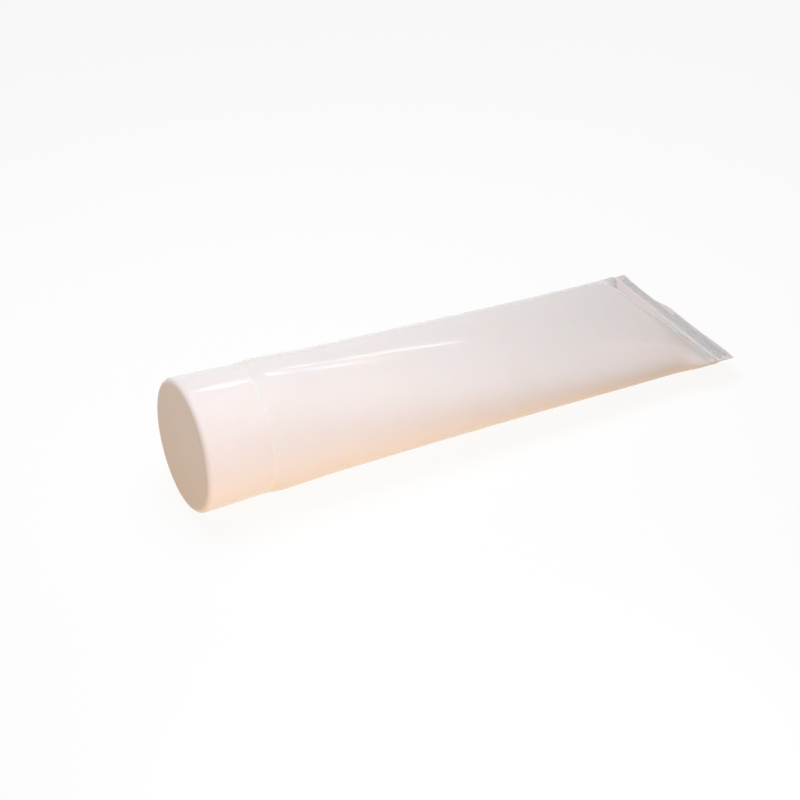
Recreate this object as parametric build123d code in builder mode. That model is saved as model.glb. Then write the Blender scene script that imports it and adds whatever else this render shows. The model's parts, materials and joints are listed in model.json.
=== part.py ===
"""A plastic squeeze tube of silicone grease with a flush screw cap, lying on its belly.

The tube is an extruded sleeve. A moulded head, with the shoulder and the threaded neck, closes
its front, and a flat crimped seal closes its back. The sleeve's girth is the same all along: a
circle at the shoulder, an oval on the way and a flat band at the seal. The cap screws on to the
neck, right-handed, and shuts the orifice with a foam liner. Sizes are in millimetres.

Distances along the tube start at the cap's end face and run towards the seal. The tube rests on
its straight underside, so its axis slopes down towards the seal. The frame has its origin on
the floor below the middle of the tube, +X towards the seal and +Z up.
"""

import os
from math import atan, cos, pi, radians, sin, sqrt, tan

from build123d import *

# Sleeve
tube_diameter = 40.0
wall = 0.5
lip_width = 1.9
shoulder_round = 1.2
round_margin = 0.5
belly_length = 129.4
belly_half_depth = 9.05
crown_lift = 0.4
closing_length = 9.4
flat_strip_length = 4.3
flat_spot_depth = 0.12
cavity_end_gap = 1.0

# Crimped seal
seal_length = 4.8
seal_thickness = 0.9
seal_step = 0.1
seal_spread = 0.15
jaw_press = 0.12
jaw_ridge_gap = 0.4
jaw_ridge_width = 0.5
jaw_ridge_pitch = 1.1
jaw_ridge_count = 3

# Head: shoulder cone, neck and the skirt that the sleeve grips
neck_radius = 8.1
neck_wall = 1.7
neck_top_wall = 1.2
neck_chamfer = 0.4
orifice_radius = 3.5
cone_angle = 30.0
cone_wall = 1.4
head_skirt_wall = 0.85
head_skirt_length = 4.0
head_fit = 0.04

# Cap
cap_height = 21.4
cap_inset = 0.05
cap_flare = 0.9
cap_corner = 1.9
cap_rim_round = 0.35
cap_wall = 1.3
cap_end_wall = 1.6
cap_gap = 0.3
boss_wall = 1.5
boss_end_gap = 1.4
rib_count = 8
rib_thickness = 0.9
rib_bite = 0.5
rib_step = 1.0

# Thread of the neck and of the cap's boss: one start, right hand
pitch = 4.0
thread_height = 0.9
thread_base = 1.8
thread_crest = 0.8
thread_bite = 0.3
thread_radial_gap = 0.2
thread_flank_gap = 0.15
thread_start_gap = 2.0
neck_thread_end_gap = 1.7
boss_thread_end_gap = 1.15

# Liner and grease
liner_thickness = 1.0
liner_side_gap = 0.25
seat_gap = 0.02
grease_gap = 0.1
grease_level = 0.6

# Stations along the tube that follow from the sizes
tube_radius = tube_diameter / 2
girth = pi * tube_diameter
cap_open_radius = tube_radius - cap_inset
cap_end_radius = cap_open_radius + cap_flare
sleeve_front = cap_height + cap_gap
skirt_end = sleeve_front + head_skirt_length
round_end = skirt_end + round_margin
belly_end = round_end + belly_length
closed_at = belly_end + closing_length
seal_start = closed_at + flat_strip_length
sleeve_back = seal_start + seal_length
cavity_end = closed_at - cavity_end_gap
closed_depth = seal_thickness / 2 - seal_step
neck_top = cap_end_wall + liner_thickness + 2 * seat_gap
cone_rim = tube_radius - lip_width
cone_slope = tan(radians(cone_angle))
neck_base = sleeve_front - (cone_rim - neck_radius) * cone_slope
boss_bore = neck_radius + thread_height + thread_radial_gap
boss_radius = boss_bore + boss_wall
boss_end = neck_base - boss_end_gap

# The cap's thread lies behind the neck's and bears on its flank
neck_thread = neck_top + thread_start_gap
neck_turns = (neck_base - neck_thread_end_gap - neck_thread) / pitch
shared_width = (thread_base - thread_crest) * (1 - thread_radial_gap / thread_height)
boss_thread = neck_thread + thread_crest + shared_width / 2 + thread_flank_gap
boss_turns = (boss_end - boss_thread_end_gap - boss_thread) / pitch

# The straight underside lies on the floor, and that gives the slope of the axis
rest_tilt = atan((tube_radius - belly_half_depth) / belly_length)
along = Vector(cos(rest_tilt), 0, -sin(rest_tilt))
axis_height = round_end * sin(rest_tilt) + tube_radius * cos(rest_tilt) - flat_spot_depth
corner_centre = cap_end_radius - cap_corner
front_reach = cap_corner * cos(rest_tilt) - corner_centre * sin(rest_tilt) - cap_corner
back_reach = sleeve_back * cos(rest_tilt) + seal_thickness / 2 * sin(rest_tilt)
axis_start = Vector(-(front_reach + back_reach) / 2, 0, axis_height)
tube_axis = Axis(axis_start, along)

# A half section of a turned part: its X runs along the tube, its Y out from the axis
turning_plane = Plane(origin=axis_start, x_dir=along, z_dir=(0, -1, 0))


def station(distance):
    """The plane square to the tube at this distance: its X runs across, its Y up."""
    return Plane(origin=axis_start + along * distance, x_dir=(0, 1, 0), z_dir=along)


def half_depths(distance):
    """How far the sleeve's section reaches above and below the axis."""
    share = min(max(distance - round_end, 0.0) / belly_length, 1.0)
    straight = tube_radius - (tube_radius - belly_half_depth) * share
    crown = crown_lift * sin(pi * share) ** 2
    closing = max(0.0, (distance - belly_end) / closing_length)
    fall = cos(pi / 2 * closing)
    above = closed_depth + (straight + crown - closed_depth) * fall
    return above, closed_depth + (straight - closed_depth) * fall


def half_perimeter(width, depth):
    """Half the way round an ellipse of these half axes, by Ramanujan's formula."""
    ratio = ((width - depth) / (width + depth)) ** 2
    return pi / 2 * (width + depth) * (1 + 3 * ratio / (10 + sqrt(4 - 3 * ratio)))


def half_width(above, below):
    """The half width that gives a section of these depths the sleeve's girth."""
    low, high = tube_radius / 2, girth / 2
    while high - low > 1e-6:
        middle = (low + high) / 2
        if half_perimeter(middle, above) + half_perimeter(middle, below) < girth:
            low = middle
        else:
            high = middle
    return (low + high) / 2


seal_half_width = half_width(closed_depth, closed_depth) + seal_spread


def oval(distance, inset):
    """The sleeve's section at this distance, drawn this far inside its outer face."""
    above, below = half_depths(distance)
    width = half_width(above, below) - inset
    with BuildSketch(station(distance)) as section:
        with BuildLine():
            EllipticalCenterArc((0, 0), width, above - inset, 0, arc_size=180)
            EllipticalCenterArc((0, 0), width, below - inset, 180, arc_size=180)
        make_face()
    return section.sketch


body_shares = (0, 0.12, 0.26, 0.42, 0.58, 0.74, 0.88, 1)
closing_shares = (0.25, 0.5, 0.75)


def ovals(inset, first, last):
    """The sections of a loft between two distances: round ones first, then ovals."""
    on_front = [first, (first + round_end) / 2]
    on_belly = [round_end + share * belly_length for share in body_shares]
    on_closing = [belly_end + share * closing_length for share in closing_shares]
    near = closing_length / 20
    distances = [distance for distance in on_belly + on_closing if distance < last - near]
    return [oval(distance, inset) for distance in on_front + distances + [last]]


def turned(*corners):
    """A closed half section in the turning plane, from (distance, radius, rounding) corners."""
    points = [(distance, radius) for distance, radius, rounding in corners]
    with BuildSketch(turning_plane) as profile:
        with BuildLine():
            FilletPolyline(*points, radius=[corner[2] for corner in corners], close=True)
        make_face()
    return profile.sketch


def thread(start, turns, root, tip):
    """The path of a thread from this distance, and its section where the path starts."""
    with BuildLine(station(start)) as path:
        Helix(pitch, pitch * turns, neck_radius, direction=along)
    centre = axis_start + along * start
    outward = (path.line @ 0 - centre).normalized()
    foot = root - thread_bite if tip > root else root + thread_bite
    foot_width = thread_base + thread_bite * (thread_base - thread_crest) / thread_height
    corners = (
        (-foot_width / 2, foot),
        (foot_width / 2, foot),
        (thread_crest / 2, tip),
        (-thread_crest / 2, tip),
    )
    with BuildSketch(Plane(origin=centre, x_dir=along, z_dir=along.cross(outward))) as section:
        with BuildLine():
            Polyline(*corners, close=True)
        make_face()
    return path.line, section.sketch


def front_edges(part, distance):
    """The edges of a part that lie in the plane of this station."""
    plane = station(distance)
    return [edge for edge in part.edges() if abs(plane.to_local_coords(edge.center()).Z) < 1e-3]


# Sleeve: its front is round, with a lip curled over the head, and it flattens to the seal
inner_round = shoulder_round - wall
inner_front = sleeve_front + wall

with BuildPart() as cavity:
    loft(ovals(wall, inner_front, cavity_end))
    fillet(front_edges(cavity, inner_front), inner_round)

with BuildPart() as sleeve:
    loft(ovals(0, sleeve_front, closed_at))
    fillet(front_edges(sleeve, sleeve_front), shoulder_round)
    add(cavity.part, mode=Mode.SUBTRACT)
    with BuildSketch(station(sleeve_front)):
        Circle(cone_rim)
    extrude(amount=2 * wall, mode=Mode.SUBTRACT)
    with BuildSketch(station(closed_at)):
        Rectangle(2 * seal_half_width, seal_thickness)
    extrude(amount=seal_start - closed_at)
    with BuildSketch(station(seal_start)):
        Rectangle(2 * seal_half_width, seal_thickness - 2 * jaw_press)
    extrude(amount=seal_length)
    for row in range(jaw_ridge_count):
        with BuildSketch(station(seal_start + jaw_ridge_gap + row * jaw_ridge_pitch)):
            Rectangle(2 * seal_half_width, seal_thickness)
        extrude(amount=jaw_ridge_width)
    split(bisect_by=Plane.XY, keep=Keep.TOP)

sleeve.part.label = "sleeve"

# Head: the shoulder cone carries the neck, and its skirt fills the sleeve's round front
skirt_radius = tube_radius - wall - head_fit
skirt_bore = skirt_radius - head_skirt_wall
neck_bore = neck_radius - neck_wall
cone_back = cone_wall / cos(radians(cone_angle))


def cone_inside(radius):
    """Where the inner face of the shoulder cone has this radius."""
    return sleeve_front - (cone_rim - radius) * cone_slope + cone_back


head_section = turned(
    (sleeve_front, cone_rim - head_fit, 0),
    (neck_base, neck_radius, 0),
    (neck_top, neck_radius, neck_chamfer),
    (neck_top, orifice_radius, 0),
    (neck_top + neck_top_wall, orifice_radius, 0),
    (neck_top + neck_top_wall, neck_bore, 0),
    (cone_inside(neck_bore), neck_bore, 0),
    (cone_inside(skirt_bore), skirt_bore, 0),
    (skirt_end, skirt_bore, 0),
    (skirt_end, skirt_radius, 0),
    (sleeve_front + wall + head_fit, skirt_radius, inner_round - head_fit),
    (sleeve_front + wall + head_fit, cone_rim - head_fit, 0),
)
neck_path, neck_thread_section = thread(
    neck_thread, neck_turns, neck_radius, neck_radius + thread_height
)

with BuildPart() as tube_head:
    revolve(head_section, axis=tube_axis)
    sweep(neck_thread_section, path=neck_path, is_frenet=True)

tube_head.part.label = "tube_head"

# Grease: it fills the sleeve, the cone and the neck to just below the orifice's rim
fill_top = neck_top + grease_level
fill_neck = neck_bore - grease_gap
fill_skirt = skirt_bore - grease_gap
fill_section = turned(
    (fill_top, 0, 0),
    (fill_top, orifice_radius - grease_gap, 0),
    (neck_top + neck_top_wall + grease_gap, orifice_radius - grease_gap, 0),
    (neck_top + neck_top_wall + grease_gap, fill_neck, 0),
    (cone_inside(fill_neck) + grease_gap, fill_neck, 0),
    (cone_inside(fill_skirt) + grease_gap, fill_skirt, 0),
    (round_end, fill_skirt, 0),
    (round_end, 0, 0),
)

with BuildPart() as grease_fill:
    loft(ovals(wall + grease_gap, skirt_end + grease_gap, cavity_end - grease_gap))
    revolve(fill_section, axis=tube_axis)

grease_fill.part.label = "grease_fill"

# Cap: the skirt tapers, and the threaded boss hangs from the end wall between ribs
cap_section = turned(
    (0, 0, 0),
    (0, cap_end_radius, cap_corner),
    (cap_height, cap_open_radius, cap_rim_round),
    (cap_height, cap_open_radius - cap_wall, cap_rim_round),
    (cap_end_wall, cap_end_radius - cap_wall, 0),
    (cap_end_wall, boss_radius, 0),
    (boss_end, boss_radius, 0),
    (boss_end, boss_bore, 0),
    (cap_end_wall, boss_bore, 0),
    (cap_end_wall, 0, 0),
)
cap_path, cap_thread_section = thread(
    boss_thread, boss_turns, boss_bore, boss_bore - thread_height
)
rib_end = boss_end - rib_step
skirt_slope = cap_flare / (cap_height - cap_end_wall)
rib_foot = cap_end_radius - cap_wall + rib_bite
rib_corners = (
    (boss_radius - rib_bite, cap_end_wall),
    (boss_radius - rib_bite, rib_end),
    (rib_foot - (rib_end - cap_end_wall) * skirt_slope, rib_end),
    (rib_foot, cap_end_wall),
)

with BuildPart() as rib:
    with BuildSketch(Plane.XZ):
        with BuildLine():
            Polyline(*rib_corners, close=True)
        make_face()
    extrude(amount=rib_thickness / 2, both=True)

with BuildPart() as cap:
    revolve(cap_section, axis=tube_axis)
    with Locations(station(0)):
        with PolarLocations(0, rib_count):
            add(rib.part)
    sweep(cap_thread_section, path=cap_path, is_frenet=True)

cap.part.label = "cap"

# Liner: a foam disc in the boss, pressed on the neck's top
with BuildPart() as cap_liner:
    with BuildSketch(station(cap_end_wall + seat_gap)):
        Circle(boss_bore - liner_side_gap)
    extrude(amount=liner_thickness)

cap_liner.part.label = "cap_liner"

os.makedirs("parts", exist_ok=True)
export_step(sleeve.part, "parts/sleeve.step")
export_step(tube_head.part, "parts/tube_head.step")
export_step(grease_fill.part, "parts/grease_fill.step")
export_step(cap.part, "parts/cap.step")
export_step(cap_liner.part, "parts/cap_liner.step")
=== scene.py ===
"""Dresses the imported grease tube: a milky plastic sleeve with its crimped seal, the flush
screw cap, the threaded head, the foam liner and the grease, on a pale studio floor.

Tube coordinates: the first runs along the tube from the cap's end face to the seal, the second
across it, away from the camera, and the third up. Sizes are in metres."""

import json
import math

import bmesh
import bpy
from bpy.props import FloatProperty, FloatVectorProperty, IntProperty, PointerProperty
from mathutils import Matrix, Vector, noise


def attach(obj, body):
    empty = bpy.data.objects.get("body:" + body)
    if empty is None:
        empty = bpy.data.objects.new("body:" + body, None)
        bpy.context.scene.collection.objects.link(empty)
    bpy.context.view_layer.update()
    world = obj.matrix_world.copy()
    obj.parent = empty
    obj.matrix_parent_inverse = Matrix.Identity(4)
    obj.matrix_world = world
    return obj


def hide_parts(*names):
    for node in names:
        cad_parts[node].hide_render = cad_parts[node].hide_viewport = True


bl_info = {
    "name": "Squeeze tube of grease",
    "version": (1, 0, 0),
    "blender": (4, 5, 0),
    "location": "View3D > Sidebar > Tube",
    "description": "Builds the visible pieces of a squeeze tube round its packed model",
    "category": "Object",
}

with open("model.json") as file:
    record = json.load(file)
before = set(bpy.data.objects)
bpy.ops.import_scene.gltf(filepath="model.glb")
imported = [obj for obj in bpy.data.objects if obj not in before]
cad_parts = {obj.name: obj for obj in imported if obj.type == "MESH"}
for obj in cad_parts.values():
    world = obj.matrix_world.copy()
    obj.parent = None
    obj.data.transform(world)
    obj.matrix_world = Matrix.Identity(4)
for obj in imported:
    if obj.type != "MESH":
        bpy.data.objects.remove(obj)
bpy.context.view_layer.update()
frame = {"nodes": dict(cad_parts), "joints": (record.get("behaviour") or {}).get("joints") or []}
MM = 0.001
WHITE = (1, 1, 1, 1)

# The tube's own axes, read from the joint that the cap turns on
cap_turn = next(joint for joint in frame["joints"] if joint["name"] == "cap_turn")
AXIS_START = Vector(cap_turn["pos_m"])
ALONG = -Vector(cap_turn["axis"]).normalized()
ACROSS = Vector((0, 1, 0))
UPWARD = ALONG.cross(ACROSS)
TUBE_TO_FRAME = Matrix.Translation(AXIS_START) @ Matrix((ALONG, ACROSS, UPWARD)).transposed().to_4x4()


def along_range(node):
    """The lowest and highest distance of a node's vertices along the tube."""
    distances = [(v.co - AXIS_START).dot(ALONG) for v in frame["nodes"][node].data.vertices]
    return min(distances), max(distances)


SLEEVE_FRONT, SLEEVE_BACK = along_range("sleeve")
CAP_BACK = along_range("cap")[1]


def length(name, description, default):
    """A size property, in metres."""
    return FloatProperty(name=name, description=description, default=default, unit="LENGTH", precision=5)


def colour(name, description, default):
    """A colour property, in the scene's linear values."""
    return FloatVectorProperty(
        name=name, description=description, default=default, size=4, subtype="COLOR", min=0, max=1
    )


class TubeSleeveSettings(bpy.types.PropertyGroup):
    """Sizes of the sleeve and its crimped seal"""

    radius: length("Radius", "Outer radius of the sleeve at the shoulder", 20 * MM)
    wall: length("Wall", "Thickness of the sleeve", 0.42 * MM)
    lip_width: length("Lip width", "How far the front lip reaches in over the shoulder", 1.9 * MM)
    shoulder_round: length("Shoulder round", "Radius of the rounded shoulder edge", 0.65 * MM)
    round_length: length("Round length", "Stretch behind the shoulder that stays round", 4.5 * MM)
    belly_length: length("Belly length", "Stretch that flattens evenly towards the seal", 129.4 * MM)
    belly_depth: length("Belly half depth", "Half depth where the sleeve starts to close", 9.05 * MM)
    crown_lift: length("Crown lift", "Extra fullness on top, half way along", 0.4 * MM)
    strip_length: length("Strip length", "Flat strip before the seal, in the middle", 4.0 * MM)
    near_strip: length("Near strip", "Flat strip before the seal, on the near side", 1.6 * MM)
    seal_length: length("Seal length", "Length of the pressed seal", 4.8 * MM)
    seal_thickness: length("Seal thickness", "Thickness of the flat strip and the seal", 0.9 * MM)
    jaw_press: length("Jaw press", "How deep the jaws press each face of the seal", 0.12 * MM)
    press_run: length("Press run", "How far into the seal its faces reach that depth", 0.3 * MM)
    swell: length("Swell", "Extra radius where the head's skirt ends", 0.4 * MM)
    swell_length: length("Swell length", "From the shoulder to the fullest part of the swell", 5 * MM)
    corner_lift: length("Corner lift", "How far the near corner of the seal curls up", 0.55 * MM)
    unevenness: FloatProperty(name="Unevenness", description="Soft waves of the belly", default=0.006)
    bead_height: length("Bead height", "Height of the lines that run across the seal", 0.2 * MM)
    bead_width: length("Bead width", "Half width of the line at the start of the seal", 0.2 * MM)
    short_bead_place: length("Short bead place", "Where the short line crosses the middle", 1.45 * MM)
    short_bead_lean: length("Short bead lean", "How much farther it would lie at the side", 0.4 * MM)
    short_bead_width: length("Short bead width", "Half width of the short line", 0.17 * MM)
    edge_step: length("Edge step", "Step in the cut edge, near the middle", 1.75 * MM)
    edge_wave: length("Edge wave", "How far the cut edge wanders at its corners", 0.45 * MM)
    crease_start: length("Crease start", "Where the crease from the seal's corner fades out", 131.5 * MM)
    crease_lead: length("Crease lead", "How far before that its last trace ends", 8 * MM)
    crease_run: length("Crease run", "How far past that it has its full height", 16 * MM)
    crease_height: length("Crease height", "Height of that crease", 0.9 * MM)
    crease_width: length("Crease width", "How wide that crease falls away", 4.5 * MM)
    crease_round: length("Crease round", "How far its top is rounded", 0.12 * MM)
    crease_angle: FloatProperty(
        name="Crease angle", description="Its place at the start, counted from the far side",
        default=math.radians(130), subtype="ANGLE",
    )
    crease_turn: FloatProperty(
        name="Crease turn", description="How far it moves towards the side on its way",
        default=math.radians(14), subtype="ANGLE",
    )
    tooth_pitch: length("Tooth pitch", "Spacing of the seal's fine slanted pattern", 0.8 * MM)
    tooth_width: length("Tooth width", "Width of one line of the pattern", 0.48 * MM)
    tooth_height: length("Tooth height", "How far a line stands out", 0.1 * MM)
    tooth_slant: FloatProperty(
        name="Tooth slant", description="Angle between a line and the tube",
        default=math.radians(38), subtype="ANGLE",
    )
    columns: IntProperty(name="Columns", description="Faces round the sleeve", default=384, min=32)


class TubeCapSettings(bpy.types.PropertyGroup):
    """Sizes of the cap and of the thread under it"""

    end_radius: length("End radius", "Outer radius at the closed end", 20.85 * MM)
    open_radius: length("Open radius", "Outer radius at the open rim", 19.95 * MM)
    corner: length("Corner", "Radius of the rounded end edge", 1.9 * MM)
    wall: length("Wall", "Thickness of the skirt", 1.3 * MM)
    end_wall: length("End wall", "Thickness of the end wall", 1.6 * MM)
    dish: length("Dish", "Depth of the shallow dish in the end face", 0.12 * MM)
    neck_radius: length("Neck radius", "Radius of the neck at the thread's root", 8.1 * MM)
    pitch: length("Pitch", "Advance of the thread in one turn", 4.0 * MM)
    thread_height: length("Thread height", "Height of the thread's ridge", 0.9 * MM)
    thread_gap: length("Thread gap", "Room between the thread's tip and the boss", 0.2 * MM)
    boss_end: length("Boss end", "How far the threaded boss reaches", 14.5 * MM)
    boss_wall: length("Boss wall", "Thickness of the boss", 1.5 * MM)
    boss_thread: length("Boss thread", "Where the boss's thread starts", 5.98 * MM)
    boss_turns: FloatProperty(name="Boss turns", description="Turns of the boss's thread", default=1.85)
    rib_count: IntProperty(name="Ribs", description="Ribs between boss and skirt", default=8, min=1)
    rib_thickness: length("Rib thickness", "Thickness of a rib", 0.9 * MM)
    rib_setback: length("Rib setback", "How far a rib ends before the boss does", 1.0 * MM)


class TubeFinishSettings(bpy.types.PropertyGroup):
    """Colours of the tube's materials"""

    sleeve: colour("Sleeve", "Milky plastic of the sleeve", (0.865, 0.80, 0.80, 1))
    cap: colour("Cap", "Plastic of the cap and the head", (0.87, 0.81, 0.815, 1))
    grease: colour("Grease", "Translucent grease", (0.82, 0.82, 0.78, 1))
    liner: colour("Liner", "Foam of the liner", (0.84, 0.83, 0.8, 1))


class TubeStageSettings(bpy.types.PropertyGroup):
    """The camera's place and the lights"""

    azimuth: FloatProperty(
        name="Azimuth", description="Camera's heading, turned from +Y towards +X",
        default=math.radians(23.956), subtype="ANGLE",
    )
    elevation: FloatProperty(
        name="Elevation", description="Camera's height above the horizon",
        default=math.radians(33.867), subtype="ANGLE",
    )
    roll: FloatProperty(
        name="Roll", description="Camera's turn about its own axis",
        default=math.radians(-5.224), subtype="ANGLE",
    )
    distance: length("Distance", "From the aimed point to the camera", 664.3 * MM)
    aim: FloatVectorProperty(
        name="Aim", description="Point in the middle of the picture",
        default=(-15.98 * MM, -4.32 * MM, 15 * MM), subtype="TRANSLATION", precision=5,
    )
    lens: FloatProperty(name="Lens", description="Focal length in millimetres", default=97.35)
    sky: colour("Sky", "Light from all round", (1, 0.915, 0.865, 1))
    cap_side_sky: colour("Cap side sky", "Light from beyond the cap", (0.46, 0.345, 0.255, 1))
    seal_side_sky: colour("Seal side sky", "Light from beyond the seal", (0.36, 0.31, 0.27, 1))
    sky_strength: FloatProperty(name="Sky strength", description="Light from all round", default=0.44)
    floor_glow: colour("Floor glow", "What the floor by the tube throws back at it", (1, 0.6, 0.2, 1))
    far_floor_glow: colour("Far floor glow", "The same, farther from the tube", (1, 0.84, 0.7, 1))
    glow_near: length("Glow near", "How far to the side the first of these reaches", 30 * MM)
    glow_far: length("Glow far", "From where to the side the second is alone", 80 * MM)
    floor_strength: FloatProperty(name="Floor strength", description="Strength of that glow", default=0.85)
    dimming: FloatProperty(
        name="Dimming", description="Share of the light left at the back, and of the glow by the seal",
        default=0.55,
    )
    shadow: FloatProperty(name="Shadow", description="How much of the shadow shows", default=0.1)
    tube_radius: length("Tube radius", "Height of the tube's top above its axis", 20 * MM)
    key_power: FloatProperty(name="Key power", description="Soft lamp over the cap, in watts", default=0.6)
    fill_power: FloatProperty(name="Fill power", description="Low lamp in front, in watts", default=0.165)
    streak_power: FloatProperty(name="Streak power", description="Window at the back, in watts", default=1.7)


def place(distance, across=0.0, up=0.0):
    """A point in tube coordinates, as a point of the frame."""
    return TUBE_TO_FRAME @ Vector((distance, across, up))


def ease(value, start, end):
    """Rises smoothly from 0 at start to 1 at end."""
    share = min(max((value - start) / (end - start), 0.0), 1.0)
    return share * share * (3 - 2 * share)


def steps(start, end, count):
    """Evenly spaced values after start, up to and with end."""
    return [start + (end - start) * (i + 1) / count for i in range(count)]


def arc(centre, radius, start, end, count):
    """Points (distance, radius) of an arc: 0 degrees points away from the axis, 90 to the seal."""
    angles = [math.radians(start + (end - start) * i / count) for i in range(count + 1)]
    return [(centre[0] + radius * math.sin(a), centre[1] + radius * math.cos(a)) for a in angles]


class Surface:
    """A mesh made of rings of vertices, joined ring to ring."""

    def __init__(self, segments):
        self.bm = bmesh.new()
        self.segments = segments
        self.angles = [2 * math.pi * i / segments for i in range(segments)]

    def ring(self, point):
        """A ring whose vertices are point(angle), with the angle counted from the far side."""
        return [self.bm.verts.new(point(angle)) for angle in self.angles]

    def turned_ring(self, distance, radius):
        """A round ring on the tube's axis, or one vertex where the radius is 0."""
        if radius < 1e-7:
            return [self.bm.verts.new(place(distance))]
        return self.ring(lambda a: place(distance, radius * math.cos(a), radius * math.sin(a)))

    def join(self, rings):
        """Faces between each ring and the next. A ring of one vertex makes triangles."""
        for ring, following in zip(rings, rings[1:]):
            for i in range(self.segments):
                j = (i + 1) % self.segments
                corners = (
                    ring[i % len(ring)],
                    ring[j % len(ring)],
                    following[j % len(following)],
                    following[i % len(following)],
                )
                self.bm.faces.new(dict.fromkeys(corners))

    def pinch(self, ring):
        """Closes a flat ring: each vertex above joins the one below it."""
        last = len(ring) - 1
        self.bm.faces.new((ring[0], ring[1], ring[last]))
        for i in range(1, len(ring) // 2 - 1):
            self.bm.faces.new((ring[i], ring[i + 1], ring[last - i], ring[last + 1 - i]))
        middle = len(ring) // 2
        self.bm.faces.new((ring[middle - 1], ring[middle], ring[middle + 1]))

    def add(self, mesh):
        """Takes in another mesh, which is deleted."""
        self.bm.from_mesh(mesh)
        bpy.data.meshes.remove(mesh)

    def mesh(self, name):
        """The finished mesh, with its faces outward."""
        bmesh.ops.recalc_face_normals(self.bm, faces=self.bm.faces)
        mesh = bpy.data.meshes.new(name)
        self.bm.to_mesh(mesh)
        self.bm.free()
        return mesh


def finish_piece(name, mesh, material, body, node):
    """Makes a mesh a smooth piece that rides on a body in place of a CAD node."""
    mesh.shade_smooth()
    mesh.set_sharp_from_angle(angle=math.radians(40))
    mesh.materials.clear()
    mesh.materials.append(material)
    piece = bpy.data.objects.new(name, mesh)
    bpy.context.scene.collection.objects.link(piece)
    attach(piece, body)
    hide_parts(node)
    return piece


def feed(tree, node, inputs):
    """Sets a node's inputs, each to a value or to another node's output."""
    for name, value in inputs.items():
        if isinstance(value, bpy.types.NodeSocket):
            tree.links.new(value, node.inputs[name])
        else:
            node.inputs[name].default_value = value


def add_node(tree, kind, inputs, **settings):
    """A new node with these settings and inputs."""
    node = tree.nodes.new(kind)
    for name, value in settings.items():
        setattr(node, name, value)
    feed(tree, node, inputs)
    return node


def node_group(name, kind, inputs, outputs):
    """A new node group: each socket is given by its name and its kind of value."""
    tree = bpy.data.node_groups.new(name, kind)
    for direction, sockets in (("INPUT", inputs), ("OUTPUT", outputs)):
        for socket_name, value in sockets.items():
            tree.interface.new_socket(socket_name, in_out=direction, socket_type="NodeSocket" + value)
    return tree


def copies_tree():
    """The node tree that repeats a mesh along a line, round an axis, or both."""
    name = "Tube copies"
    if name in bpy.data.node_groups:
        return bpy.data.node_groups[name]
    sockets = {
        "Geometry": "Geometry", "Count": "Int", "Start": "Vector", "Step": "Vector",
        "Axis": "Vector", "Turn": "Float", "Material": "Material",
    }
    tree = node_group(name, "GeometryNodeTree", sockets, {"Geometry": "Geometry"})
    given = add_node(tree, "NodeGroupInput", {}).outputs
    index = add_node(tree, "GeometryNodeInputIndex", {}).outputs["Index"]
    offset = add_node(
        tree, "ShaderNodeVectorMath", {0: index, 1: given["Step"], 2: given["Start"]},
        operation="MULTIPLY_ADD",
    )
    points = add_node(
        tree, "GeometryNodePoints", {"Count": given["Count"], "Position": offset.outputs["Vector"]}
    )
    angle = add_node(tree, "ShaderNodeMath", {0: index, 1: given["Turn"]}, operation="MULTIPLY")
    rotation = add_node(
        tree, "FunctionNodeAxisAngleToRotation",
        {"Axis": given["Axis"], "Angle": angle.outputs["Value"]},
    )
    instances = add_node(tree, "GeometryNodeInstanceOnPoints", {
        "Points": points.outputs["Points"],
        "Instance": given["Geometry"],
        "Rotation": rotation.outputs["Rotation"],
    })
    realize = add_node(
        tree, "GeometryNodeRealizeInstances", {"Geometry": instances.outputs["Instances"]}
    )
    finish = add_node(
        tree, "GeometryNodeSetMaterial",
        {"Geometry": realize.outputs["Geometry"], "Material": given["Material"]},
    )
    add_node(tree, "NodeGroupOutput", {"Geometry": finish.outputs["Geometry"]})
    return tree


def copies(pattern, count, start, step, turn, material):
    """A mesh of copies of a pattern mesh: each moves on by step and turns about the tube."""
    holder = bpy.data.objects.new("Copies", pattern)
    bpy.context.scene.collection.objects.link(holder)
    modifier = holder.modifiers.new("Copies", "NODES")
    modifier.node_group = copies_tree()
    chosen = {
        "Count": count, "Start": start, "Step": step, "Axis": ALONG, "Turn": turn, "Material": material,
    }
    for item in modifier.node_group.interface.items_tree:
        if item.in_out == "INPUT" and item.name in chosen:
            modifier[item.identifier] = chosen[item.name]
    depsgraph = bpy.context.evaluated_depsgraph_get()
    mesh = bpy.data.meshes.new_from_object(holder.evaluated_get(depsgraph), depsgraph=depsgraph)
    bpy.data.objects.remove(holder)
    bpy.data.meshes.remove(pattern)
    if not mesh.polygons:
        raise RuntimeError("the copies came out empty")
    return mesh


def prism(name, section, height, long_way):
    """A bar with this section: corners and the long way are directions in tube coordinates."""
    turn = TUBE_TO_FRAME.to_3x3()
    bm = bmesh.new()
    ends = [
        [bm.verts.new(turn @ (Vector(corner) + Vector(long_way) * side * height / 2)) for corner in section]
        for side in (-1, 1)
    ]
    bm.faces.new(ends[0])
    bm.faces.new(ends[1])
    for i in range(len(section)):
        j = (i + 1) % len(section)
        bm.faces.new((ends[0][i], ends[0][j], ends[1][j], ends[1][i]))
    bmesh.ops.recalc_face_normals(bm, faces=bm.faces)
    mesh = bpy.data.meshes.new(name)
    bm.to_mesh(mesh)
    bm.free()
    return mesh


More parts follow.
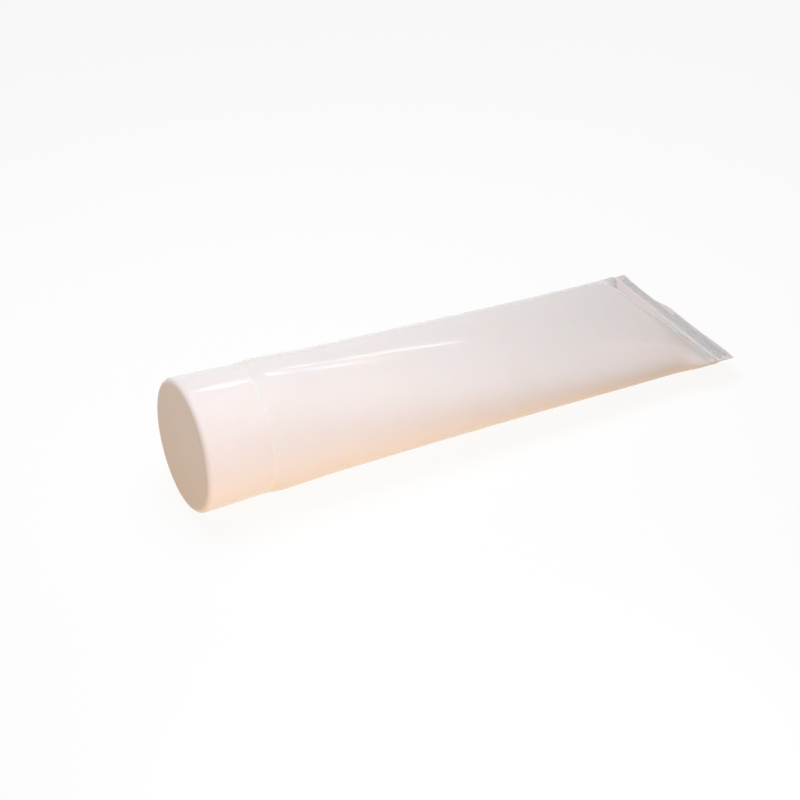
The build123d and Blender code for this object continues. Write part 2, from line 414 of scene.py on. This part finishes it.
def thread_ridge(surface, root, tip, start, turns, s):
    """A helical ridge on the tube's axis, right-handed towards the seal, with tapered ends."""
    base, crest, bite = 2 * s.thread_height, 0.9 * s.thread_height, 0.3 * MM
    foot = root - bite if tip > root else root + bite
    sections_per_turn, taper_start, taper_end = 72, -0.01, 0.09
    count = int(turns * sections_per_turn)
    sections = []
    for i in range(count + 1):
        turn = turns * i / count
        top = root + (tip - root) * ease(min(turn, turns - turn), taper_start, taper_end)
        angle = 2 * math.pi * turn
        centre = start + s.pitch * turn
        profile = (
            (-base / 2, foot), (-base / 2, root), (-crest / 2, top),
            (crest / 2, top), (base / 2, root), (base / 2, foot),
        )
        sections.append([
            surface.bm.verts.new(place(centre + d, r * math.cos(angle), r * math.sin(angle)))
            for d, r in profile
        ])
    for section, following in zip(sections, sections[1:]):
        for i in range(len(section)):
            j = (i + 1) % len(section)
            surface.bm.faces.new((section[i], section[j], following[j], following[i]))
    surface.bm.faces.new(sections[0])
    surface.bm.faces.new(sections[-1])


def half_perimeter(width, depth):
    """Half the way round an ellipse of these half axes, by Ramanujan's formula."""
    ratio = ((width - depth) / (width + depth)) ** 2
    return math.pi / 2 * (width + depth) * (1 + 3 * ratio / (10 + math.sqrt(4 - 3 * ratio)))


def half_width(above, below, girth):
    """The half width of a section of these depths that keeps the sleeve's girth."""
    low, high = girth / 8, girth / 2
    while high - low > 1e-7:
        middle = (low + high) / 2
        if half_perimeter(middle, above) + half_perimeter(middle, below) < girth:
            low = middle
        else:
            high = middle
    return (low + high) / 2


class SleeveForm:
    """The sleeve's shape: where each row of its mesh runs, outside and in.

    A side is a place across the sleeve: -1 near the camera, 0 in the middle and 1 far from it."""

    # The power of the rise that makes the seal's section a flat one, and how far closed it starts
    FLATNESS, FLAT_FROM = 0.3, 0.7
    # The flat strip is narrow up to the first side, wide from the second, and closes from the third
    STRIP_NARROW, STRIP_WIDE, STRIP_CLOSES = -0.28, 0.02, 0.6
    SHORTEST_STRIP = 0.15 * MM
    # Where the step in the cut edge starts and ends on the far side, and how much of it is a cut
    STEP_START, STEP_END, STEP_CUT = 0.12, 0.42, 0.83
    # The short line's middle, and how far from it the line starts to fade and ends
    SHORT_MIDDLE, SHORT_FADES, SHORT_ENDS = -0.08, 0.26, 0.36
    # Shares of the seal: 1 at its start, 2 at the cut edge, which thins from EDGE_ROUND
    EDGE_ROUND, EDGE_THIN = 1.975, 0.45
    # Height of the far crease as a share of the near one, and how it nears the side
    FAR_CREASE, CREASE_BEND = 0.3, 1.6
    # Waves of the belly along each metre, and across its half width
    WAVES_ALONG, WAVES_ACROSS = 45, 1.3
    # Square of the distance from the axis, in radii, where the seal's corner has its full lift
    CORNER_REACH = 2.4

    def __init__(self, s):
        self.s = s
        self.girth = 2 * math.pi * s.radius
        self.round_end = SLEEVE_FRONT + s.round_length
        self.belly_end = self.round_end + s.belly_length
        self.seal_start = SLEEVE_BACK - s.seal_length
        self.flat_depth = s.seal_thickness / 2

    def depths(self, distance, closing):
        """Half depths above and below the axis, in the belly or part of the way closed."""
        s = self.s
        share = min(max(distance - self.round_end, 0) / s.belly_length, 1)
        straight = s.radius - (s.radius - s.belly_depth) * share
        crown = s.crown_lift * math.sin(math.pi * share) ** 2
        fall = math.cos(math.pi / 2 * closing)
        flat = self.flat_depth
        return flat + (straight + crown - flat) * fall, flat + (straight - flat) * fall

    def swell(self, distance):
        """How far the sleeve swells where the head's skirt ends."""
        rise = ease(distance, SLEEVE_FRONT, SLEEVE_FRONT + self.s.swell_length)
        fall = ease(distance, SLEEVE_FRONT + self.s.swell_length, SLEEVE_FRONT + 5 * self.s.swell_length)
        return self.s.swell * rise * (1 - fall)

    def strip(self, side):
        """Length of the flat strip at this side. It all but ends at both corners."""
        s = self.s
        near = s.near_strip * (1 + side) / (1 + self.STRIP_NARROW)
        wide = ease(side, self.STRIP_NARROW, self.STRIP_WIDE)
        strip = near + (s.strip_length - near) * wide
        return max(strip * (1 - ease(side, self.STRIP_CLOSES, 1) ** 2), self.SHORTEST_STRIP)

    def cut_edge(self, side):
        """Where the cut edge of the seal runs: short on the far side, with a step near the middle."""
        s = self.s
        step = s.edge_step * (ease(-side, -self.STEP_END, -self.STEP_START) - self.STEP_CUT)
        near_bulge = ease(-side, 0.3, 0.8)
        near_corner = 0.8 * ease(-side, 0.85, 1)
        far_corner = 1.1 * ease(side, 0.8, 1)
        return SLEEVE_BACK + step + s.edge_wave * (near_bulge - near_corner + far_corner)

    def crease(self, distance, angle, width):
        """Height of the soft crease that runs from each corner of the seal along the belly."""
        s = self.s
        side, rise = math.cos(angle), math.sin(angle)
        past = max(distance - s.crease_start, 0) / (self.belly_end - s.crease_start)
        line = -math.cos(s.crease_angle + s.crease_turn * past ** self.CREASE_BEND)
        away = math.hypot(width * (abs(side) - line), s.crease_round)
        fade = ease(distance, s.crease_start - s.crease_lead, s.crease_start + s.crease_run)
        fade *= ease(rise, 0, 0.4)
        share = 1 if side < 0 else self.FAR_CREASE
        return s.crease_height * share * fade * math.exp(-away / s.crease_width)

    def settle(self, distance, across, up):
        """The point as it lies: the near corner of the seal lifts, and the floor flattens."""
        lift = self.s.corner_lift * max(0, -across / self.s.radius) ** 2 / self.CORNER_REACH
        lift *= ease(distance, self.belly_end - self.s.radius, SLEEVE_BACK)
        point = place(distance, across, up + lift)
        point.z = max(point.z, 0)
        return point

    def body_point(self, distance, closing, inset, angle):
        """A point of the belly, or of the closing stretch when closing is over 0."""
        side, rise = math.cos(angle), math.sin(angle)
        above, below = self.depths(distance, closing)
        grow = self.swell(distance) - inset
        closed = 0
        if closing > 0:
            end = self.seal_start - self.strip(side)
            distance = self.belly_end + (end - self.belly_end) * closing
            middle_end = self.seal_start - self.s.strip_length
            closed = min((distance - self.belly_end) / (middle_end - self.belly_end), 1)
        width = half_width(*self.depths(min(distance, self.belly_end), closed), self.girth)
        squareness = 1 - (1 - self.FLATNESS) * ease(closing, self.FLAT_FROM, 1)
        height = math.copysign(abs(rise) ** squareness, rise) * ((above if rise > 0 else below) + grow)
        across = (width + grow) * side
        if inset == 0:
            calm = ease(distance, self.round_end, self.round_end + self.s.radius) * (1 - closing)
            height *= 1 + calm * self.s.unevenness * noise.noise(
                Vector((distance * self.WAVES_ALONG, side * self.WAVES_ACROSS, math.copysign(1, rise)))
            )
        if inset == 0 and rise > 0 and distance > self.s.crease_start - self.s.crease_lead:
            height += self.crease(distance, angle, width) * (1 - closing) ** 2
        return self.settle(distance, across, height)

    def flat_point(self, share, angle):
        """A point of the flat strip, 0 to 1, and of the seal behind it, 1 to 2."""
        s = self.s
        side, rise = math.cos(angle), math.sin(angle)
        valley = self.seal_start - self.strip(side)
        depth = self.flat_depth
        if share <= 1:
            distance = valley + (self.seal_start - valley) * share
        else:
            past = (self.cut_edge(side) - self.seal_start) * (share - 1)
            distance = self.seal_start + past
            ridge = math.exp(-(past / s.bead_width - 1) ** 2)
            from_short = past - s.short_bead_place - s.short_bead_lean * side
            short = math.exp(-(from_short / s.short_bead_width) ** 2)
            short *= 1 - ease(abs(side - self.SHORT_MIDDLE), self.SHORT_FADES, self.SHORT_ENDS)
            depth -= s.jaw_press * ease(past, 0, s.press_run)
            depth += s.bead_height * max(ridge, short)
            depth *= 1 - self.EDGE_THIN * ease(share, self.EDGE_ROUND, 2) ** 2
        width = half_width(self.flat_depth, self.flat_depth, self.girth)
        up = math.copysign(abs(rise) ** self.FLATNESS, rise) * depth
        return self.settle(distance, width * side, up)

    def build(self):
        """The surface of the sleeve: outside from the lip to the seal, then inside."""
        s = self.s
        surface = Surface(s.columns)
        hole = s.radius - s.lip_width
        inner_front = SLEEVE_FRONT + s.wall
        inner_round = s.shoulder_round - s.wall
        lip = surface.turned_ring(inner_front, hole)
        front = [(SLEEVE_FRONT, hole)] + arc(
            (SLEEVE_FRONT + s.shoulder_round, s.radius - s.shoulder_round), s.shoulder_round, -90, -10, 8
        )
        outside = [lip] + [surface.turned_ring(*point) for point in front]
        stations = steps(SLEEVE_FRONT + s.shoulder_round * 0.95, self.round_end, 5)
        stations += steps(self.round_end, self.belly_end, 72)
        for distance in stations:
            outside.append(surface.ring(lambda a: self.body_point(distance, 0, 0, a)))
        for closing in steps(0, 1, 28):
            outside.append(surface.ring(lambda a: self.body_point(self.belly_end, closing, 0, a)))
        seal_shares = steps(1, self.EDGE_ROUND, 38) + steps(self.EDGE_ROUND, 2, 3)
        for share in steps(0, 1, 6) + seal_shares:
            outside.append(surface.ring(lambda a: self.flat_point(share, a)))
        surface.join(outside)
        surface.pinch(outside[-1])

        corner_centre = (inner_front + inner_round, hole + s.lip_width - s.shoulder_round)
        corner = arc(corner_centre, inner_round, -90, -10, 5)
        inside = [lip] + [surface.turned_ring(*point) for point in corner]
        stations = steps(inner_front + inner_round * 0.95, self.round_end, 3)
        stations += steps(self.round_end, self.belly_end, 24)
        for distance in stations:
            inside.append(surface.ring(lambda a: self.body_point(distance, 0, s.wall, a)))
        for closing in steps(0, 0.9, 12):
            inside.append(surface.ring(lambda a: self.body_point(self.belly_end, closing, s.wall, a)))
        surface.join(inside)
        surface.pinch(inside[-1])
        return surface


def sleeve_mesh(s, material):
    """The sleeve with the fine slanted pattern that the jaws press in its seal."""
    form = SleeveForm(s)
    surface = form.build()
    slant = Vector((math.cos(s.tooth_slant), math.sin(s.tooth_slant), 0))
    sideways = Vector((-slant.y, slant.x, 0)) * s.tooth_width / 2
    crest = Vector((0, 0, s.tooth_height))
    crest_share, margin, past_middle = 0.4, 2.2 * MM, 0.05
    section = [
        sideways - crest, sideways * crest_share + crest, -sideways * crest_share + crest, -sideways - crest,
    ]
    seal_width = half_width(form.flat_depth, form.flat_depth, form.girth)
    width = seal_width - margin
    pressed = form.flat_depth - s.jaw_press
    # Each row's first and last distance behind the seal's start, and how far it passes the middle
    rows = ((0.7 * MM, 2.9 * MM, width), (3.0 * MM, 4.3 * MM, past_middle * width))
    for face in (1, -1):
        for first, last, far_end in rows:
            corners = [Vector((corner.x, corner.y, corner.z * face)) for corner in section]
            tooth = prism("Tooth", corners, (last - first) / math.cos(s.tooth_slant), slant)
            start = place(form.seal_start + (first + last) / 2, -width, face * pressed)
            count = int((width + far_end) / s.tooth_pitch)
            teeth = copies(tooth, count, start, ACROSS * s.tooth_pitch, 0, material)
            for vertex in teeth.vertices:
                distance, across, up = TUBE_TO_FRAME.inverted() @ vertex.co
                thinning = 1 - (1 - (across / seal_width) ** 2) ** (form.FLATNESS / 2)
                vertex.co = form.settle(distance, across, up - face * pressed * thinning)
            surface.add(teeth)
    return surface.mesh("Sleeve skin")


def cap_mesh(s, material):
    """The cap: a tapered skirt, a threaded boss and the ribs between them."""
    lean = math.atan((s.end_radius - s.open_radius) / CAP_BACK)
    slope = math.tan(lean)
    corner = s.end_radius - s.corner * (slope + 1 / math.cos(lean))
    rim, fillet, overlap, joint_gap, rib_bite = 0.2 * MM, 0.5 * MM, 0.3 * MM, 0.03 * MM, 0.4 * MM
    back = SLEEVE_FRONT - joint_gap
    boss_bore = s.neck_radius + s.thread_height + s.thread_gap
    boss_radius = boss_bore + s.boss_wall
    inner = s.end_radius - s.wall
    surface = Surface(256)
    profile = [(s.dish * (1 - (r / corner) ** 4), r) for r in [0] + steps(0, corner, 14)]
    profile += arc((s.corner, corner), s.corner, -85, math.degrees(lean), 14)
    profile += arc((back - rim, s.open_radius - rim), rim, math.degrees(lean), 90, 5)
    profile += arc((back - rim, s.open_radius - s.wall + rim), rim, 90, 180, 5)[1:]
    profile += [(s.end_wall + fillet, inner - slope * s.end_wall), (s.end_wall, inner - fillet)]
    profile += [(s.end_wall, boss_radius + overlap), (s.end_wall + overlap, boss_radius)]
    profile += arc((s.boss_end - rim, boss_radius - rim), rim, 0, 90, 3)
    profile += arc((s.boss_end - rim, boss_bore + rim), rim, 90, 180, 3)
    profile += [(s.end_wall, boss_bore), (s.end_wall, 0)]
    surface.join([surface.turned_ring(*point) for point in profile])
    thread_ridge(surface, boss_bore, boss_bore - s.thread_height, s.boss_thread, s.boss_turns, s)

    foot, end, axis_side = inner + fillet, s.boss_end - s.rib_setback, boss_radius - rib_bite
    section = [
        (s.end_wall - overlap, 0, axis_side),
        (end, 0, axis_side),
        (end, 0, foot - slope * end),
        (s.end_wall - overlap, 0, foot - slope * s.end_wall),
    ]
    rib = prism("Rib", section, s.rib_thickness, (0, 1, 0))
    turn = 2 * math.pi / s.rib_count
    surface.add(copies(rib, s.rib_count, AXIS_START, (0, 0, 0), turn, material))
    return surface.mesh("Cap shell")


def map_range(tree, value, low, high, at_low=0, at_high=1, **settings):
    """The output of a node that takes low to at_low and high to at_high."""
    inputs = {"Value": value, "From Min": low, "From Max": high, "To Min": at_low, "To Max": at_high}
    return add_node(tree, "ShaderNodeMapRange", inputs, **settings).outputs["Result"]


def mix_colours(tree, factor, first, second):
    """The output of a node that goes from the first colour to the second."""
    inputs = {"Factor": factor, "A": first, "B": second}
    return add_node(tree, "ShaderNodeMix", inputs, data_type="RGBA").outputs["Result"]


def object_place(tree):
    """The output with the place on the object."""
    return add_node(tree, "ShaderNodeTexCoord", {}).outputs["Object"]


def grain_group():
    """Faint mottling and draw lines of a blown or extruded plastic, as a mask and a normal."""
    name = "Plastic grain"
    if name in bpy.data.node_groups:
        return bpy.data.node_groups[name]
    tree = node_group(name, "ShaderNodeTree", {"Relief": "Float"}, {"Mottle": "Float", "Normal": "Vector"})
    given = add_node(tree, "NodeGroupInput", {})
    spot = object_place(tree)
    mottle = add_node(tree, "ShaderNodeTexNoise", {"Vector": spot, "Scale": 90, "Detail": 3})
    tilt = (0, math.asin(-ALONG.z), 0)
    stretch = add_node(
        tree, "ShaderNodeMapping", {"Vector": spot, "Rotation": tilt, "Scale": (12, 260, 260)}
    )
    lines = add_node(tree, "ShaderNodeTexNoise", {"Vector": stretch.outputs["Vector"], "Scale": 1})
    fine = add_node(tree, "ShaderNodeTexNoise", {"Vector": spot, "Scale": 2200, "Detail": 2})
    fine_share = 0.35
    both = add_node(
        tree, "ShaderNodeMath", {0: fine.outputs["Fac"], 1: fine_share, 2: lines.outputs["Fac"]},
        operation="MULTIPLY_ADD",
    )
    bump = add_node(tree, "ShaderNodeBump", {
        "Distance": 0.02 * MM, "Strength": given.outputs["Relief"], "Height": both.outputs["Value"],
    })
    outputs = {"Mottle": mottle.outputs["Fac"], "Normal": bump.outputs["Normal"]}
    add_node(tree, "NodeGroupOutput", outputs)
    return tree


def painted_highlight_group():
    """A mask of a thin line round the tube, where a paler base colour paints a highlight on an edge or a
    fold of the plastic.
    """
    name = "Pale line"
    if name in bpy.data.node_groups:
        return bpy.data.node_groups[name]
    sockets = {"Distance": "Float", "Half width": "Float"}
    tree = node_group(name, "ShaderNodeTree", sockets, {"Mask": "Float"})
    given = add_node(tree, "NodeGroupInput", {})
    offset = add_node(
        tree, "ShaderNodeVectorMath", {0: object_place(tree), 1: AXIS_START}, operation="SUBTRACT"
    )
    along = add_node(
        tree, "ShaderNodeVectorMath", {0: offset.outputs["Vector"], 1: ALONG}, operation="DOT_PRODUCT"
    )
    past = add_node(
        tree, "ShaderNodeMath", {0: along.outputs["Value"], 1: given.outputs["Distance"]},
        operation="SUBTRACT",
    )
    away = add_node(tree, "ShaderNodeMath", {0: past.outputs["Value"]}, operation="ABSOLUTE")
    strongest = 0.75
    mask = map_range(
        tree, away.outputs["Value"], 0, given.outputs["Half width"], strongest, 0,
        interpolation_type="SMOOTHSTEP",
    )
    add_node(tree, "NodeGroupOutput", {"Mask": mask})
    return tree


def new_material(name):
    """A node material, its tree and its Principled shader."""
    material = bpy.data.materials.new(name)
    material.use_nodes = True
    return material, material.node_tree, material.node_tree.nodes["Principled BSDF"]


def toned(tint, *shares):
    """The colour with its red, green and blue multiplied by these shares."""
    return (*(part * share for part, share in zip(tint, shares)), 1)


def milky_plastic(name, tint, roughness, relief, depth, painted_highlights=()):
    """Milky polyethylene: light goes a little way in, and the skin has a faint grain. Paler lines round the
    tube are painted highlights.
    """
    material, tree, shader = new_material(name)
    grain = add_node(tree, "ShaderNodeGroup", {}, node_tree=grain_group())
    feed(tree, grain, {"Relief": relief})
    mottle = grain.outputs["Mottle"]
    shade = mix_colours(tree, mottle, tint, toned(tint, 0.975, 0.955, 0.93))
    # Each pair paints a paler band round the tube: a painted highlight on an edge or a fold
    for distance, reach in painted_highlights:
        line = add_node(tree, "ShaderNodeGroup", {}, node_tree=painted_highlight_group())
        feed(tree, line, {"Distance": distance, "Half width": reach})
        shade = mix_colours(tree, line.outputs["Mask"], shade, (0.985, 0.965, 0.96, 1))
    feed(tree, shader, {
        "Base Color": shade,
        "Roughness": map_range(tree, mottle, 0.3, 0.7, roughness * 0.88, roughness * 1.15),
        "Normal": grain.outputs["Normal"],
        "Subsurface Weight": 0.4,
        "Subsurface Radius": (1, 0.6, 0.4),
        "Subsurface Scale": depth,
        "IOR": 1.4,
        "Specular IOR Level": 0.4,
    })
    return material


def foam_material(name, tint):
    """Closed-cell foam: fine pores in a matt white sheet."""
    material, tree, shader = new_material(name)
    cells = add_node(tree, "ShaderNodeTexVoronoi", {"Vector": object_place(tree), "Scale": 2600})
    pores = map_range(tree, cells.outputs["Distance"], 0, 0.6)
    bump = add_node(
        tree, "ShaderNodeBump", {"Strength": 0.5, "Distance": 0.06 * MM, "Height": pores}
    )
    feed(tree, shader, {
        "Base Color": mix_colours(tree, pores, toned(tint, 0.72, 0.7, 0.66), tint),
        "Normal": bump.outputs["Normal"],
        "Roughness": 0.75,
    })
    return material


def grease_material(name, tint):
    """Silicone grease: a translucent, wet and slightly wavy paste."""
    material, tree, shader = new_material(name)
    inputs = {"Vector": object_place(tree), "Scale": 380, "Detail": 2}
    waves = add_node(tree, "ShaderNodeTexNoise", inputs).outputs["Fac"]
    bump = add_node(tree, "ShaderNodeBump", {"Strength": 0.6, "Distance": 0.3 * MM, "Height": waves})
    feed(tree, shader, {
        "Base Color": mix_colours(tree, waves, tint, toned(tint, 0.9, 0.92, 0.94)),
        "Normal": bump.outputs["Normal"],
        "Roughness": 0.16,
        "IOR": 1.4,
        "Subsurface Weight": 0.8,
        "Subsurface Radius": (1, 1, 0.9),
        "Subsurface Scale": 3 * MM,
    })
    return material


class TUBE_OT_sleeve(bpy.types.Operator):
    """Build the sleeve with its crimped seal"""

    bl_idname = "tube.sleeve"
    bl_label = "Build sleeve"

    def execute(self, context):
        finish, s = context.scene.tube_finish, context.scene.tube_sleeve
        # Painted highlights: a pale band at the joint with the cap that lightens the groove's shade, and one
        # where the seal starts
        lines = ((SLEEVE_FRONT, 0.6 * MM), (SLEEVE_BACK - s.seal_length + 0.2 * MM, 0.4 * MM))
        material = milky_plastic("Sleeve plastic", tuple(finish.sleeve), 0.13, 0.2, 0.7 * MM, lines)
        mesh = sleeve_mesh(s, material)
        finish_piece("sleeve_skin", mesh, material, "tube", "sleeve")
        return {"FINISHED"}


class TUBE_OT_cap(bpy.types.Operator):
    """Build the cap"""

    bl_idname = "tube.cap"
    bl_label = "Build cap"

    def execute(self, context):
        # The line is a painted highlight: a pale band on the cap's rim at the joint that lightens the
        # groove's shade
        tint, lines = tuple(context.scene.tube_finish.cap), ((SLEEVE_FRONT, 0.5 * MM),)
        material = milky_plastic("Cap plastic", tint, 0.13, 0.15, 1.2 * MM, lines)
        mesh = cap_mesh(context.scene.tube_cap, material)
        finish_piece("cap_shell", mesh, material, "cap", "cap")
        return {"FINISHED"}


class TUBE_OT_finishes(bpy.types.Operator):
    """Give the head, the liner and the grease their materials"""

    bl_idname = "tube.finishes"
    bl_label = "Finish inner pieces"

    def execute(self, context):
        finish = context.scene.tube_finish
        chosen = {
            "tube_head": milky_plastic("Head plastic", tuple(finish.cap), 0.24, 0.15, 2 * MM),
            "cap_liner": foam_material("Liner foam", tuple(finish.liner)),
            "grease_fill": grease_material("Grease", tuple(finish.grease)),
        }
        for node, material in chosen.items():
            mesh = frame["nodes"][node].data
            mesh.materials.clear()
            mesh.materials.append(material)
        return {"FINISHED"}


def seen_directly(tree):
    """1 for rays from the camera, and for those that a mirror or clear piece passes on."""
    path = add_node(tree, "ShaderNodeLightPath", {})
    value = path.outputs["Is Camera Ray"]
    for kind in ("Is Glossy Ray", "Is Transmission Ray"):
        larger = add_node(
            tree, "ShaderNodeMath", {0: value, 1: path.outputs[kind]}, operation="MAXIMUM"
        )
        value = larger.outputs["Value"]
    return value


def floor_material(s):
    """White to the eye, apart from the soft shadow, and a warm glow to the tube's underside."""
    material = bpy.data.materials.new("Studio floor")
    material.use_nodes = True
    tree = material.node_tree
    tree.nodes.clear()
    white = add_node(tree, "ShaderNodeEmission", {"Color": WHITE, "Strength": 1})
    matt = add_node(tree, "ShaderNodeBsdfDiffuse", {"Color": WHITE})
    shown = add_node(tree, "ShaderNodeMixShader", {
        "Fac": s.shadow, 1: white.outputs["Emission"], 2: matt.outputs["BSDF"],
    })
    parts = add_node(tree, "ShaderNodeSeparateXYZ", {"Vector": object_place(tree)}).outputs
    aside = add_node(tree, "ShaderNodeMath", {0: parts["Y"]}, operation="ABSOLUTE")
    spread = map_range(tree, aside.outputs["Value"], s.glow_near, s.glow_far)
    fall_start, fall_end = -20 * MM, 140 * MM
    glow = add_node(tree, "ShaderNodeEmission", {
        "Color": mix_colours(tree, spread, s.floor_glow, s.far_floor_glow),
        "Strength": map_range(
            tree, parts["X"], fall_start, fall_end, s.floor_strength, s.floor_strength * s.dimming
        ),
    })
    chosen = add_node(tree, "ShaderNodeMixShader", {
        "Fac": seen_directly(tree), 1: glow.outputs["Emission"], 2: shown.outputs["Shader"],
    })
    add_node(tree, "ShaderNodeOutputMaterial", {"Surface": chosen.outputs["Shader"]})
    return material


def build_world(s):
    """White behind the object. On it the light is even, but dimmer from behind and from both ends."""
    world = bpy.data.worlds.new("Studio")
    world.use_nodes = True
    tree = world.node_tree
    tree.nodes.clear()
    direction = add_node(tree, "ShaderNodeTexCoord", {})
    parts = add_node(tree, "ShaderNodeSeparateXYZ", {"Vector": direction.outputs["Generated"]}).outputs
    sky = add_node(tree, "ShaderNodeValToRGB", {"Fac": map_range(tree, parts["X"], -1, 1)})
    cap_end, even_start, even_end, seal_end = 0.07, 0.45, 0.6, 0.95
    ramp = sky.color_ramp.elements
    ramp[0].position, ramp[0].color = cap_end, s.cap_side_sky
    ramp[1].position, ramp[1].color = seal_end, s.seal_side_sky
    ramp.new(even_start).color = s.sky
    ramp.new(even_end).color = s.sky
    front, back = -0.2, 0.8
    lit = add_node(tree, "ShaderNodeBackground", {
        "Color": sky.outputs["Color"],
        "Strength": map_range(
            tree, parts["Y"], front, back, s.sky_strength, s.sky_strength * s.dimming
        ),
    })
    white = add_node(tree, "ShaderNodeBackground", {"Color": WHITE, "Strength": 1})
    chosen = add_node(tree, "ShaderNodeMixShader", {
        "Fac": seen_directly(tree), 1: lit.outputs["Background"], 2: white.outputs["Background"],
    })
    add_node(tree, "ShaderNodeOutputWorld", {"Surface": chosen.outputs["Shader"]})
    bpy.context.scene.world = world


def aimed(position, target):
    """The turn that makes a lamp or camera at position look at target."""
    return (Vector(target) - Vector(position)).to_track_quat("-Z", "Y")


def add_lamp(name, location, target, width, height, power, tint=WHITE[:3], mirrored=False):
    """An area lamp, which either only shows as a reflection or only lights the tube."""
    lamp = bpy.data.lights.new(name, "AREA")
    lamp.shape = "RECTANGLE"
    lamp.size, lamp.size_y = width, height
    lamp.energy = power
    lamp.color = tint
    holder = bpy.data.objects.new(name, lamp)
    holder.location = location
    holder.rotation_mode = "QUATERNION"
    holder.rotation_quaternion = aimed(location, target)
    holder.visible_glossy = mirrored
    holder.visible_diffuse = not mirrored
    holder.visible_camera = False
    bpy.context.scene.collection.objects.link(holder)


def add_pane(name, target, elevation, azimuth, away, width, height, power):
    """A white lamp in this direction from the target, seen only as its reflection."""
    location = target + heading(elevation, azimuth) * away
    add_lamp(name, location, target, width, height, power, mirrored=True)


def heading(elevation, azimuth):
    """The direction at this elevation and this turn from +Y towards +X, in degrees."""
    up, turn = math.radians(elevation), math.radians(azimuth)
    return Vector((math.sin(turn) * math.cos(up), math.cos(turn) * math.cos(up), math.sin(up)))


def build_camera(s):
    """The camera at the photograph's angle."""
    flat = math.cos(s.elevation)
    forward = Vector((
        math.sin(s.azimuth) * flat, math.cos(s.azimuth) * flat, -math.sin(s.elevation)
    ))
    camera = bpy.data.objects.new("Photo camera", bpy.data.cameras.new("Photo camera"))
    camera.location = Vector(s.aim) - forward * s.distance
    camera.rotation_mode = "QUATERNION"
    turn = aimed(camera.location, s.aim)
    camera.rotation_quaternion = Matrix.Rotation(-s.roll, 3, forward).to_quaternion() @ turn
    camera.data.lens = s.lens
    camera.data.sensor_width = 36
    camera.data.clip_start = 0.01
    bpy.context.scene.collection.objects.link(camera)
    bpy.context.scene.camera = camera


class TUBE_OT_stage(bpy.types.Operator):
    """Set the floor, the lights, the camera and the white background"""

    bl_idname = "tube.stage"
    bl_label = "Set stage"

    def execute(self, context):
        s = context.scene.tube_stage
        mesh = bpy.data.meshes.new("Studio floor")
        half = 3.0
        corners = [(-half, -half, 0), (half, -half, 0), (half, half, 0), (-half, half, 0)]
        mesh.from_pydata(corners, [], [(0, 1, 2, 3)])
        mesh.materials.append(floor_material(s))
        floor = bpy.data.objects.new("Studio floor", mesh)
        context.scene.collection.objects.link(floor)
        build_world(s)
        cap_middle = place(CAP_BACK / 2)
        add_lamp(
            "Key", location=cap_middle + Vector((0.04, 0.04, 0.26)), target=cap_middle,
            width=0.2, height=0.2, power=s.key_power, tint=(0.92, 0.965, 1),
        )
        add_lamp(
            "Fill", location=Vector((-0.08, -0.19, 0.04)), target=Vector((-0.04, 0, 0.01)),
            width=0.12, height=0.08, power=s.fill_power, tint=(1, 0.965, 0.975),
        )
        add_pane(
            "Upper pane", target=place(25 * MM, 0, s.tube_radius), elevation=45.5, azimuth=41.0,
            away=1.8, width=0.24, height=0.2, power=s.streak_power,
        )
        add_pane(
            "Lower pane", target=place(70 * MM, 0, s.tube_radius), elevation=34.5, azimuth=39.4,
            away=1.8, width=0.15, height=0.05, power=s.streak_power / 6,
        )
        add_pane(
            "Glint", target=place(SLEEVE_FRONT), elevation=32, azimuth=-132.5,
            away=0.8, width=0.025, height=0.025, power=s.streak_power / 40,
        )
        build_camera(s)
        context.scene.view_settings.view_transform = "Standard"
        return {"FINISHED"}


class TUBE_PT_panel(bpy.types.Panel):
    """Sizes, colours and the build steps of the tube"""

    bl_idname = "TUBE_PT_panel"
    bl_label = "Grease tube"
    bl_space_type = "VIEW_3D"
    bl_region_type = "UI"
    bl_category = "Tube"

    def draw(self, context):
        layout = self.layout
        for operator, settings in BUILD_STEPS:
            box = layout.box()
            group = getattr(context.scene, settings)
            for name in group.__annotations__:
                box.prop(group, name)
            box.operator(operator)


BUILD_STEPS = (
    ("tube.sleeve", "tube_sleeve"),
    ("tube.cap", "tube_cap"),
    ("tube.finishes", "tube_finish"),
    ("tube.stage", "tube_stage"),
)
SETTINGS = {
    "tube_sleeve": TubeSleeveSettings,
    "tube_cap": TubeCapSettings,
    "tube_finish": TubeFinishSettings,
    "tube_stage": TubeStageSettings,
}
CLASSES = (
    *SETTINGS.values(), TUBE_OT_sleeve, TUBE_OT_cap, TUBE_OT_finishes, TUBE_OT_stage, TUBE_PT_panel,
)


def register():
    for cls in CLASSES:
        bpy.utils.register_class(cls)
    for name, settings in SETTINGS.items():
        setattr(bpy.types.Scene, name, PointerProperty(type=settings))


def unregister():
    for name in SETTINGS:
        delattr(bpy.types.Scene, name)
    for cls in reversed(CLASSES):
        bpy.utils.unregister_class(cls)


def main():
    """Builds every piece and the stage."""
    register()
    bpy.ops.tube.sleeve()
    bpy.ops.tube.cap()
    bpy.ops.tube.finishes()
    bpy.ops.tube.stage()


if __name__ == "__main__":
    main()
